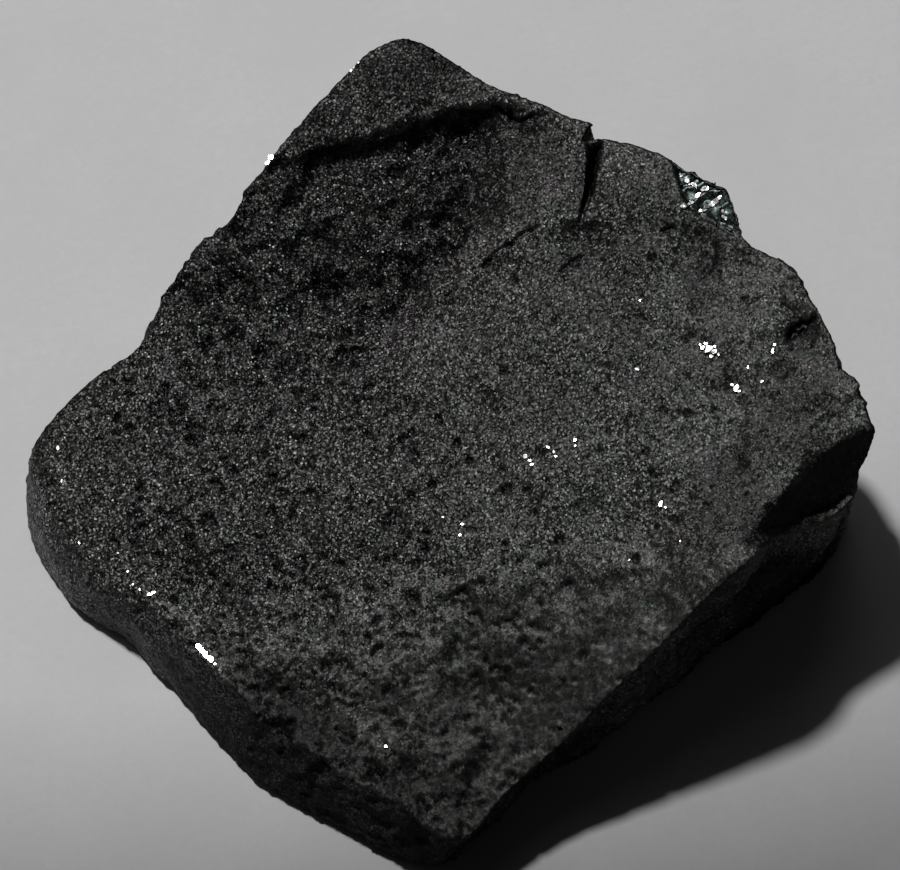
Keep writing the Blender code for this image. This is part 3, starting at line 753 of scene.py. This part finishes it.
# coarse crystals that stand in the grain and catch the light
brightGrains = {
    "single": [
        # x, y, size across
        (9.05, 1.08, 0.38), (8.86, 1.20, 0.25), (9.24, 0.96, 0.27), (9.12, 0.82, 0.17),
        (8.95, 1.32, 0.16), (9.26, 1.14, 0.15), (8.76, 1.32, 0.13), (9.38, 0.88, 0.14),
        (9.96, -0.41, 0.32), (9.83, -0.24, 0.15), (10.06, -0.50, 0.15), (10.84, -0.29, 0.17),
        (6.56, 0.71, 0.17), (10.37, 0.25, 0.11), (4.38, -1.50, 0.17), (4.38, -1.71, 0.12),
        (3.44, -1.61, 0.16), (3.65, -1.81, 0.13), (3.71, -1.98, 0.12), (2.63, -1.84, 0.21),
        (2.80, -1.98, 0.14), (2.88, -2.13, 0.15), (0.42, -3.93, 0.18), (0.35, -4.30, 0.15),
        (-0.24, -3.60, 0.12), (7.32, -4.06, 0.28), (7.48, -4.20, 0.13), (6.21, -5.83, 0.12),
        (7.95, -5.48, 0.11), (-14.22, 0.67, 0.22), (-14.02, -0.60, 0.15), (-11.90, -3.40, 0.12),
        (-11.52, -4.13, 0.14), (-11.33, -4.61, 0.11), (-11.07, -4.82, 0.13), (-2.23, -11.14, 0.15),
        (-3.37, 12.84, 0.14), (6.69, 3.12, 0.11), (8.21, 7.38, 0.17),
    ],
    "rows": [
        # from, to, size across, how many, how far their facets may lean off
        ((-8.88, -7.04), (-8.44, -7.58), 0.28, 7, 0.03),
        ((-8.38, -7.66), (-7.92, -8.25), 0.17, 5, 0.20),
        ((11.32, 1.04), (11.20, 0.66), 0.18, 3, 0.10),
        ((-10.74, -5.06), (-10.48, -4.94), 0.22, 3, 0.06),
        ((8.40, 7.15), (8.72, 6.94), 0.20, 4, 0.12),
        ((8.28, 6.20), (9.12, 6.86), 0.28, 12, 0.15),
        ((8.82, 6.02), (9.60, 6.46), 0.28, 10, 0.15),
        ((9.65, 5.98), (9.69, 5.62), 0.20, 4, 0.15),
        ((-6.66, 9.74), (-6.42, 9.96), 0.24, 4, 0.08),
        ((-3.72, 12.45), (-3.30, 12.86), 0.11, 4, 0.14),
        ((-13.38, -2.85), (-13.12, -3.30), 0.12, 5, 0.32),
        ((-12.75, -3.95), (-12.20, -4.50), 0.11, 5, 0.36),
    ],
    "lean": 0.09,
    "larger": 1.15,         # all sizes are multiplied by this
    "rowSizes": (0.6, 1.15),        # and those in a row by something between these
    "spacing": (0.2, 0.8),
    "scatter": 0.2,
    "crown": 0.26,          # height of a crystal's facet over its middle, as a share of its size,
    "girdle": 0.02,         # of its widest ring
    "keel": -0.55,          # and of its lowest
    "widths": (0.72, 1.0, 0.62),
    "sides": (5, 7),
    "narrow": (0.50, 0.90), # its width as a share of its length
    "cornerTurn": 0.2,
    "cornerReach": (0.72, 1.28),
    "sunk": 0.30,           # share of its size that is buried
    "facetGrain": 0.06,     # a facet is itself made of finer ones
    "facetTilt": 0.05,
    "facetDark": (0.42, 0.42, 0.42, 1.0),
    "facetLight": (0.66, 0.65, 0.66, 1.0),
    "roughness": (0.0, 1.0, 0.14, 0.26),
}


# place, size, how far it may lean and its long direction, for every crystal
def allGrains(chance):
    for x, y, size in brightGrains["single"]:
        angle = chance.random() * math.tau
        yield (x, y), size, brightGrains["lean"], Vector((math.cos(angle), math.sin(angle), 0.0))
    scatter = brightGrains["scatter"]
    for start, end, size, count, lean in brightGrains["rows"]:
        along = (Vector(end) - Vector(start)).to_3d().normalized()
        for step in range(count):
            share = (step + chance.uniform(*brightGrains["spacing"])) / count
            place = Vector(start).lerp(Vector(end), share)
            place += Vector((chance.uniform(-scatter, scatter), chance.uniform(-scatter, scatter))) * size
            yield place[:], size * chance.uniform(*brightGrains["rowSizes"]), lean, along


# one crystal: a flattened, many-sided grain whose largest facet faces the given way
def addCrystal(bm, place, facing, along, size, chance):
    longAxis = (along - facing * along.dot(facing)).normalized()
    turn = Matrix((longAxis, facing.cross(longAxis), facing)).transposed()
    sides = chance.randint(*brightGrains["sides"])
    narrow = chance.uniform(*brightGrains["narrow"])
    cornerTurn = brightGrains["cornerTurn"]
    heights = (brightGrains["crown"], brightGrains["girdle"], brightGrains["keel"])
    rings = []
    for height, width in zip(heights, brightGrains["widths"]):
        ring = []
        for step in range(sides):
            angle = math.tau * step / sides + chance.uniform(-cornerTurn, cornerTurn)
            reach = 0.5 * size * width * chance.uniform(*brightGrains["cornerReach"])
            corner = Vector((math.cos(angle) * reach, math.sin(angle) * reach * narrow, size * height))
            ring.append(bm.verts.new((place + turn @ corner + middle) * mm))
        rings.append(ring)
    bm.faces.new(rings[0])
    bm.faces.new(rings[-1][::-1])
    for upper, lower in zip(rings, rings[1:]):
        for step in range(sides):
            after = (step + 1) % sides
            bm.faces.new((upper[step], lower[step], lower[after], upper[after]))


# the facets are turned half-way between the camera and the main light
def makeBrightGrains(lumpPiece):
    chance = random.Random(5)
    graph = bpy.context.evaluated_depsgraph_get()
    bm = bmesh.new()
    for (x, y), size, lean, along in allGrains(chance):
        size *= brightGrains["larger"]
        above = (Vector((x, y, 40.0)) + middle) * mm
        hit, found, _, _ = lumpPiece.ray_cast(above, Vector((0.0, 0.0, -1.0)), depsgraph=graph)
        if not hit:
            print("no lump under grain", x, y)
            continue
        place = found / mm - middle
        facing = (eyePlace() - place).normalized() + (keyPlace() - place).normalized()
        leaning = Vector((chance.uniform(-lean, lean), chance.uniform(-lean, lean), 0.0))
        facing = (facing.normalized() + leaning).normalized()
        place -= facing * size * (brightGrains["sunk"] - brightGrains["crown"])
        addCrystal(bm, place, facing, along, size, chance)
    bmesh.ops.recalc_face_normals(bm, faces=bm.faces)
    piece = addPiece("bright_grains", bm)
    print("bright grains:", len(piece.data.polygons), "faces")
    return piece


# shader helpers: each new node stands beside the last one, in rows of ten at the left of the shader
def addNode(tree, kind, **values):
    node = tree.nodes.new(kind)
    row, column = divmod(len(tree.nodes), 10)
    node.location = (column * 200 - 2200, row * -300)
    for name, value in values.items():
        setattr(node, name, value)
    return node


# the value is a plain one or the output of another node
def feed(tree, socket, value):
    if isinstance(value, bpy.types.NodeSocket):
        tree.links.new(value, socket)
    else:
        socket.default_value = value


def mathNode(tree, operation, first, second=None, clamp=False):
    node = addNode(tree, "ShaderNodeMath", operation=operation, use_clamp=clamp)
    feed(tree, node.inputs[0], first)
    if second is not None:
        feed(tree, node.inputs[1], second)
    return node.outputs[0]


def times(tree, first, second):
    return mathNode(tree, "MULTIPLY", first, second)


def vectorNode(tree, operation, first, second):
    node = addNode(tree, "ShaderNodeVectorMath", operation=operation)
    feed(tree, node.inputs[0], first)
    feed(tree, node.inputs["Scale" if operation == "SCALE" else 1], second)
    return node.outputs["Value" if operation == "DOT_PRODUCT" else 0]


# a value that goes from one level to another while the source goes from low to high
def ramped(tree, source, low, high, before=0.0, after=1.0):
    node = addNode(tree, "ShaderNodeMapRange", clamp=True)
    feed(tree, node.inputs["Value"], source)
    for name, value in (("From Min", low), ("From Max", high), ("To Min", before), ("To Max", after)):
        node.inputs[name].default_value = value
    return node.outputs["Result"]


def mixedColour(tree, factor, first, second, blend="MIX"):
    node = addNode(tree, "ShaderNodeMix", data_type="RGBA", blend_type=blend)
    for index, value in ((0, factor), (6, first), (7, second)):
        feed(tree, node.inputs[index], value)
    return node.outputs[2]


def noiseNode(tree, place, size, **values):
    node = addNode(tree, "ShaderNodeTexNoise")
    feed(tree, node.inputs["Vector"], place)
    feed(tree, node.inputs["Scale"], 1.0 / (size * mm))
    for name, value in values.items():
        feed(tree, node.inputs[name.capitalize()], value)
    return node


def newMaterial(name):
    material = bpy.data.materials.new(name)
    material.use_nodes = True
    tree = material.node_tree
    place = addNode(tree, "ShaderNodeTexCoord").outputs["Object"]
    return material, tree, tree.nodes["Principled BSDF"], place


# a grain group takes a place, a normal, the size of its grains and how far they tilt
def newGrainGroup(name, grainSize, outputs):
    group = bpy.data.node_groups.new(name, "ShaderNodeTree")
    for label, kind, value in (
        ("Place", "Vector", None),
        ("Normal", "Vector", None),
        ("Grain Size", "Float", grainSize * mm),
        ("Tilt", "Float", 0.5),
    ):
        socket = group.interface.new_socket(label, in_out="INPUT", socket_type="NodeSocket" + kind)
        if value is not None:
            socket.default_value = value
    for label, kind in outputs:
        group.interface.new_socket(label, in_out="OUTPUT", socket_type="NodeSocket" + kind)
    entry = addNode(group, "NodeGroupInput").outputs
    leave = addNode(group, "NodeGroupOutput").inputs
    perMetre = mathNode(group, "DIVIDE", 1.0, entry["Grain Size"])
    return group, entry, leave, perMetre


# the normal, tilted by a colour that varies over the surface
def tiltedNormal(group, entry, colour):
    centred = vectorNode(group, "SUBTRACT", colour, (0.5, 0.5, 0.5))
    tilt = vectorNode(group, "SCALE", centred, entry["Tilt"])
    lean = vectorNode(group, "ADD", entry["Normal"], tilt)
    unit = addNode(group, "ShaderNodeVectorMath", operation="NORMALIZE")
    feed(group, unit.inputs[0], lean)
    return unit.outputs[0]


# crystal grain: every cell of the grain is a small facet with its own tilt and tone
def makeGrainGroup():
    outputs = (("Facet Normal", "Vector"), ("Tone", "Float"), ("Hue", "Color"))
    group, entry, leave, perMetre = newGrainGroup("crystalGrain", 0.08, outputs)
    cells = addNode(group, "ShaderNodeTexVoronoi", voronoi_dimensions="3D", feature="F1")
    feed(group, cells.inputs["Vector"], entry["Place"])
    feed(group, cells.inputs["Scale"], perMetre)
    feed(group, leave["Facet Normal"], tiltedNormal(group, entry, cells.outputs["Color"]))
    parts = addNode(group, "ShaderNodeSeparateColor")
    feed(group, parts.inputs[0], cells.outputs["Color"])
    mixed = mathNode(group, "ADD", parts.outputs[0], parts.outputs[2])
    feed(group, leave["Tone"], mathNode(group, "FRACT", mixed))
    feed(group, leave["Hue"], cells.outputs["Color"])
    return group


# blunt grain: the surface leans softly this way and that, with no edges between the grains
def makeBluntGroup():
    group, entry, leave, perMetre = newGrainGroup("bluntGrain", 0.2, (("Blunt Normal", "Vector"),))
    waving = addNode(group, "ShaderNodeTexNoise")
    feed(group, waving.inputs["Detail"], 1.0)
    feed(group, waving.inputs["Vector"], entry["Place"])
    feed(group, waving.inputs["Scale"], perMetre)
    feed(group, leave["Blunt Normal"], tiltedNormal(group, entry, waving.outputs["Color"]))
    return group


# places a grain group in a material
def placeGrain(tree, group, place, normal, grainSize, tilt):
    node = addNode(tree, "ShaderNodeGroup", node_tree=group)
    feed(tree, node.inputs["Place"], place)
    feed(tree, node.inputs["Normal"], normal)
    feed(tree, node.inputs["Grain Size"], grainSize * mm)
    feed(tree, node.inputs["Tilt"], tilt)
    return node.outputs


greySelenium = {
    "dark": (0.0145, 0.0146, 0.0140, 1.0),
    "light": (0.115, 0.1155, 0.1085, 1.0),
    "sparkle": (0.36, 0.36, 0.35, 1.0),
    "edgeTint": (0.35, 0.35, 0.35, 1.0),
    # the colour of the painted shade
    "paintedShadeTone": (0.012, 0.012, 0.012, 1.0),
    "skinDark": (0.013, 0.013, 0.013, 1.0),
    "skinLight": (0.48, 0.48, 0.47, 1.0),
    "chipDark": (0.018, 0.028, 0.024, 1.0),
    "chipLight": (0.066, 0.086, 0.079, 1.0),
    "fineGrain": 0.058,
    "middleGrain": 0.125,
    "bluntGrain": 0.27,
    "cloud": 2.4,
    "tilt": 0.74,           # of the facets, all in all
    "plainTilt": 0.80,      # share of it on the plain face,
    "chipTilt": 0.70,       # less by this on the chip,
    "craggyTilt": 0.38,     # and more by this where the grain is craggy
    "skinTilt": 0.85,       # or on the skin
    # painted shade: tone taken off in pits and hollows, and over the scoop
    "hollowDark": 0.42,
    "scoopShadeTone": 0.20,
    "hueShare": 0.26,
    "speckle": 4.0,         # the larger, the fewer the light specks of the skin
    "skinCover": 0.85,
    "paintedShadeCover": 0.94,
    "chipCover": 0.85,
    "chipPolish": 0.14,
    # the rows from here on: from one value of a mask or tone to another, the levels before and after
    # by how blunt the grain is
    "middleShare": (0.0, 0.8, 0.16, 0.36),      # of the tilt, for each size of grain
    "fineShare": (0.25, 1.0, 1.0, 0.16),
    "bluntTilt": (0.3, 1.0, 0.0, 0.62),
    "grainShare": (0.3, 1.0, 0.56, 0.28),       # of the tone, for the grains and the clouds
    "cloudShare": (0.3, 1.0, 0.44, 0.94),
    "bluntRougher": (0.3, 1.0, 0.0, 0.14),
    # by how craggy it is
    "grainCurve": (0.0, 1.0, 1.0, 2.0),
    "grainGain": (0.0, 1.0, 0.90, 1.80),
    "pocketShadeShare": (0.0, 1.0, 0.15, 0.85),
    "sparkleShare": (0.15, 0.9, 0.0, 0.66),
    # by the tone of a grain or a cloud
    "shadedPockets": (0.83, 0.88),
    "sparkles": (0.925, 0.95),
    "skinPatches": (0.36, 0.64, 0.45, 1.5),
    "roughness": (0.0, 1.0, 0.32, 0.54),
    # by how much skin there is, and by the painted shade, which also takes away reflection
    "metallic": (0.0, 1.0, 0.88, 0.35),
    "specular": (0.1, 0.9, 0.5, 0.05),
}


def readMasks(tree):
    masks = {}
    for name in ("skin", "scoop", "chip", "hollow", "soft", "coarse", "paintedShade"):
        node = addNode(tree, "ShaderNodeAttribute", attribute_name=name)
        masks[name] = node.outputs["Fac"]
    masks["craggy"] = mathNode(tree, "MAXIMUM", masks["coarse"], masks["scoop"])
    return masks


# how far the facets tilt: less on the chip, more in craggy grain and on the skin
def facetTilt(tree, masks):
    look = greySelenium
    calm = times(tree, masks["chip"], look["chipTilt"])
    craggy = times(tree, masks["craggy"], look["craggyTilt"])
    skin = times(tree, masks["skin"], look["skinTilt"])
    rise = mathNode(tree, "MAXIMUM", craggy, skin)
    plain = mathNode(tree, "SUBTRACT", look["plainTilt"], calm)
    share = mathNode(tree, "ADD", plain, rise)
    return times(tree, share, look["tilt"])


# blunt grain first, then middling and fine facets on it; puts out both sizes of facets
def layerGrains(tree, place, masks, grainGroup, bluntGroup):
    look = greySelenium
    surface = addNode(tree, "ShaderNodeNewGeometry").outputs
    tilt = facetTilt(tree, masks)
    bluntTilt = ramped(tree, masks["soft"], *look["bluntTilt"])
    blunt = placeGrain(tree, bluntGroup, place, surface["Normal"], look["bluntGrain"], bluntTilt)
    share = ramped(tree, masks["soft"], *look["middleShare"])
    share = times(tree, tilt, share)
    coarser = placeGrain(tree, grainGroup, place, blunt["Blunt Normal"], look["middleGrain"], share)
    share = ramped(tree, masks["soft"], *look["fineShare"])
    share = times(tree, tilt, share)
    finer = placeGrain(tree, grainGroup, place, coarser["Facet Normal"], look["fineGrain"], share)
    return coarser, finer


def fractureTone(tree, masks, cloud, coarser, finer):
    look = greySelenium
    # coarse grain has more dark crystals and a few brighter ones
    curve = ramped(tree, masks["craggy"], *look["grainCurve"])
    curved = mathNode(tree, "POWER", finer["Tone"], curve)
    gain = ramped(tree, masks["craggy"], *look["grainGain"])
    curved = times(tree, curved, gain)
    share = ramped(tree, masks["soft"], *look["grainShare"])
    grainTone = times(tree, curved, share)
    share = ramped(tree, masks["soft"], *look["cloudShare"])
    cloudTone = times(tree, cloud, share)
    tone = mathNode(tree, "ADD", grainTone, cloudTone)
    # painted shade in pits and hollows and over the scoop
    hollow = times(tree, masks["hollow"], look["hollowDark"])
    scoop = times(tree, masks["scoop"], look["scoopShadeTone"])
    paintedDarkening = mathNode(tree, "ADD", hollow, scoop)
    tone = mathNode(tree, "SUBTRACT", tone, paintedDarkening, clamp=True)
    # painted shade of small pockets: some coarse grains are painted dark, more so in craggy grain
    pocketShade = ramped(tree, coarser["Tone"], *look["shadedPockets"])
    share = ramped(tree, masks["craggy"], *look["pocketShadeShare"])
    pocketShade = times(tree, pocketShade, share)
    kept = mathNode(tree, "SUBTRACT", 1.0, pocketShade)
    return times(tree, tone, kept)


def fractureColour(tree, masks, tone, finer):
    look = greySelenium
    colour = mixedColour(tree, tone, look["dark"], look["light"])
    tint = mixedColour(tree, look["hueShare"], (1.0, 1.0, 1.0, 1.0), finer["Hue"])
    colour = mixedColour(tree, 1.0, colour, tint, "MULTIPLY")
    # a few crystals of the coarse grain glitter
    sparkle = ramped(tree, finer["Tone"], *look["sparkles"])
    share = ramped(tree, masks["craggy"], *look["sparkleShare"])
    sparkle = times(tree, sparkle, share)
    return mixedColour(tree, sparkle, colour, look["sparkle"])


# over the fracture's colour: the cast skin, then painted shade, then the glassy chip
def coveredColour(tree, masks, colour, cloud, finer):
    look = greySelenium
    patches = ramped(tree, cloud, *look["skinPatches"])
    specks = mathNode(tree, "POWER", finer["Tone"], look["speckle"])
    specks = mathNode(tree, "MULTIPLY", specks, patches, clamp=True)
    skin = mixedColour(tree, specks, look["skinDark"], look["skinLight"])
    cover = times(tree, masks["skin"], look["skinCover"])
    colour = mixedColour(tree, cover, colour, skin)
    cover = times(tree, masks["paintedShade"], look["paintedShadeCover"])
    colour = mixedColour(tree, cover, colour, look["paintedShadeTone"])
    chip = mixedColour(tree, finer["Tone"], look["chipDark"], look["chipLight"])
    cover = times(tree, masks["chip"], look["chipCover"])
    return mixedColour(tree, cover, colour, chip)


def surfaceRoughness(tree, masks, finer):
    look = greySelenium
    rough = ramped(tree, finer["Tone"], *look["roughness"])
    polish = times(tree, masks["chip"], look["chipPolish"])
    rough = mathNode(tree, "SUBTRACT", rough, polish)
    blunter = ramped(tree, masks["soft"], *look["bluntRougher"])
    return mathNode(tree, "ADD", rough, blunter)


def makeSeleniumMaterial(grainGroup, bluntGroup):
    look = greySelenium
    material, tree, shader, place = newMaterial("grey_selenium_grain")
    masks = readMasks(tree)
    coarser, finer = layerGrains(tree, place, masks, grainGroup, bluntGroup)
    cloud = noiseNode(tree, place, look["cloud"], detail=4.0).outputs["Fac"]
    tone = fractureTone(tree, masks, cloud, coarser, finer)
    colour = fractureColour(tree, masks, tone, finer)
    feed(tree, shader.inputs["Normal"], finer["Facet Normal"])
    feed(tree, shader.inputs["Base Color"], coveredColour(tree, masks, colour, cloud, finer))
    feed(tree, shader.inputs["Specular Tint"], look["edgeTint"])
    feed(tree, shader.inputs["Roughness"], surfaceRoughness(tree, masks, finer))
    feed(tree, shader.inputs["Metallic"], ramped(tree, masks["skin"], *look["metallic"]))
    # the painted shade also lowers the reflection
    specular = ramped(tree, masks["paintedShade"], *look["specular"])
    feed(tree, shader.inputs["Specular IOR Level"], specular)
    print("material:", material.name, "with", len(tree.nodes), "nodes")
    return material


def makeBrightMaterial(grainGroup):
    look = brightGrains
    material, tree, shader, place = newMaterial("bright_selenium_facets")
    surface = addNode(tree, "ShaderNodeNewGeometry").outputs
    size, tilt = look["facetGrain"], look["facetTilt"]
    facets = placeGrain(tree, grainGroup, place, surface["Normal"], size, tilt)
    colour = mixedColour(tree, facets["Tone"], look["facetDark"], look["facetLight"])
    feed(tree, shader.inputs["Metallic"], 1.0)
    feed(tree, shader.inputs["Normal"], facets["Facet Normal"])
    feed(tree, shader.inputs["Base Color"], colour)
    feed(tree, shader.inputs["Roughness"], ramped(tree, facets["Tone"], *look["roughness"]))
    print("material:", material.name, "with", len(tree.nodes), "nodes")
    return material


# the pale paper sheet that the lump lies on
paper = {
    "size": 900.0,
    "squares": 24,
    "light": (0.785, 0.785, 0.79, 1.0),
    "dark": (0.735, 0.735, 0.74, 1.0),
    "toLight": (0.12, 0.42),
    "roughness": 0.85,
    "fibre": 0.35,
    "fibreDetail": 5.0,
    "fibreBend": 1.2,
    "cloud": 5.0,
    "relief": 0.02,
    "reliefShare": 0.12,
    "paintedFalloff": [
        # painted shade: the sheet is painted greyer along this direction, from one distance to another, down
        # to this factor,
        ((0.0, -1.0, 0.0), 7.3, 14.5, 0.61),
        ((0.62, -0.78, 0.0), 6.0, 20.0, 0.66),
        # and pale again farther out
        ((0.0, -1.0, 0.0), 15.0, 70.0, 1.55),
        ((0.62, -0.78, 0.0), 20.0, 75.0, 1.45),
    ],
}


# paints shade onto the sheet: greyer towards the front and the right, and paler again farther out
def paperWithPaintedFalloff(tree, place, colour):
    for direction, near, far, factor in paper["paintedFalloff"]:
        along = vectorNode(tree, "DOT_PRODUCT", place, direction)
        shade = ramped(tree, along, near * mm, far * mm, 1.0, factor)
        grey = addNode(tree, "ShaderNodeCombineColor")
        for socket in grey.inputs[:3]:
            feed(tree, socket, shade)
        colour = mixedColour(tree, 1.0, colour, grey.outputs[0], "MULTIPLY")
    return colour


def makePaperMaterial():
    material, tree, shader, place = newMaterial("pale_paper")
    fibres = noiseNode(tree, place, paper["fibre"], detail=paper["fibreDetail"],
                       distortion=paper["fibreBend"]).outputs["Fac"]
    clouds = noiseNode(tree, place, paper["cloud"]).outputs["Fac"]
    share = times(tree, fibres, clouds)
    share = ramped(tree, share, *paper["toLight"])
    colour = mixedColour(tree, share, paper["dark"], paper["light"])
    feed(tree, shader.inputs["Base Color"], paperWithPaintedFalloff(tree, place, colour))
    feed(tree, shader.inputs["Roughness"], paper["roughness"])
    bump = addNode(tree, "ShaderNodeBump")
    feed(tree, bump.inputs["Strength"], paper["reliefShare"])
    feed(tree, bump.inputs["Distance"], paper["relief"] * mm)
    feed(tree, bump.inputs["Height"], fibres)
    feed(tree, shader.inputs["Normal"], bump.outputs["Normal"])
    return material


def makePaper():
    bm = bmesh.new()
    half = paper["size"] * 0.5 * mm
    bmesh.ops.create_grid(bm, x_segments=paper["squares"], y_segments=paper["squares"], size=half)
    sheet = addPiece("paper_sheet", bm)
    sheet.data.materials.append(makePaperMaterial())


# a round lamp at this place; toward is the way from the lump to it
def addLamp(name, place, toward, diameter, power):
    data = bpy.data.lights.new(name, "AREA")
    data.shape = "DISK"
    data.size = diameter * mm
    data.energy = power
    lamp = bpy.data.objects.new(name, data)
    lamp.location = (middle + place) * mm
    lamp.rotation_euler = Vector(toward).to_track_quat("Z", "Y").to_euler()
    bpy.context.collection.objects.link(lamp)
    return lamp


def makeLights():
    addLamp("key", keyPlace(), keyLight["toward"], keyLight["diameter"], keyLight["power"])
    for name, (toward, distance, diameter, power) in fillLights.items():
        lamp = addLamp(name, Vector(toward).normalized() * distance, toward, diameter, power)
        lamp.visible_camera = False


# the camera sees a grey backdrop, and the pieces are lit by a faint glow
def makeSurroundings():
    world = bpy.data.worlds.new("studio")
    bpy.context.scene.world = world
    world.use_nodes = True
    tree = world.node_tree
    tree.nodes.clear()
    seen = addNode(tree, "ShaderNodeBackground")
    feed(tree, seen.inputs["Color"], surroundings["backdrop"])
    glow = addNode(tree, "ShaderNodeBackground")
    feed(tree, glow.inputs["Color"], surroundings["glow"])
    feed(tree, glow.inputs["Strength"], surroundings["strength"])
    path = addNode(tree, "ShaderNodeLightPath")
    choice = addNode(tree, "ShaderNodeMixShader")
    output = addNode(tree, "ShaderNodeOutputWorld")
    feed(tree, choice.inputs[0], path.outputs["Is Camera Ray"])
    feed(tree, choice.inputs[1], glow.outputs[0])
    feed(tree, choice.inputs[2], seen.outputs[0])
    feed(tree, output.inputs["Surface"], choice.outputs[0])


def makeCamera():
    data = bpy.data.cameras.new("camera")
    data.sensor_width = camera["sensor"]
    data.lens = camera["sensor"] * camera["distance"] / camera["widthSeen"]
    data.clip_start = camera["nearest"] * mm
    data.clip_end = camera["farthest"] * mm
    eye = bpy.data.objects.new("camera", data)
    eye.location = (middle + eyePlace()) * mm
    eye.rotation_euler = (eyePlace() - Vector(camera["target"])).to_track_quat("Z", "Y").to_euler()
    bpy.context.collection.objects.link(eye)
    bpy.context.scene.camera = eye


grain = makeGrainGroup()
lumpPiece = makeLump()
lumpPiece.data.materials.append(makeSeleniumMaterial(grain, makeBluntGroup()))
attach(lumpPiece, "root")
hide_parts("selenium_fragment")

brightPiece = makeBrightGrains(lumpPiece)
brightPiece.data.materials.append(makeBrightMaterial(grain))
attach(brightPiece, "root")

makePaper()
print("paper placed")
makeLights()
makeSurroundings()
makeCamera()
bpy.context.scene.view_settings.view_transform = "Standard"
print("lights and camera placed")
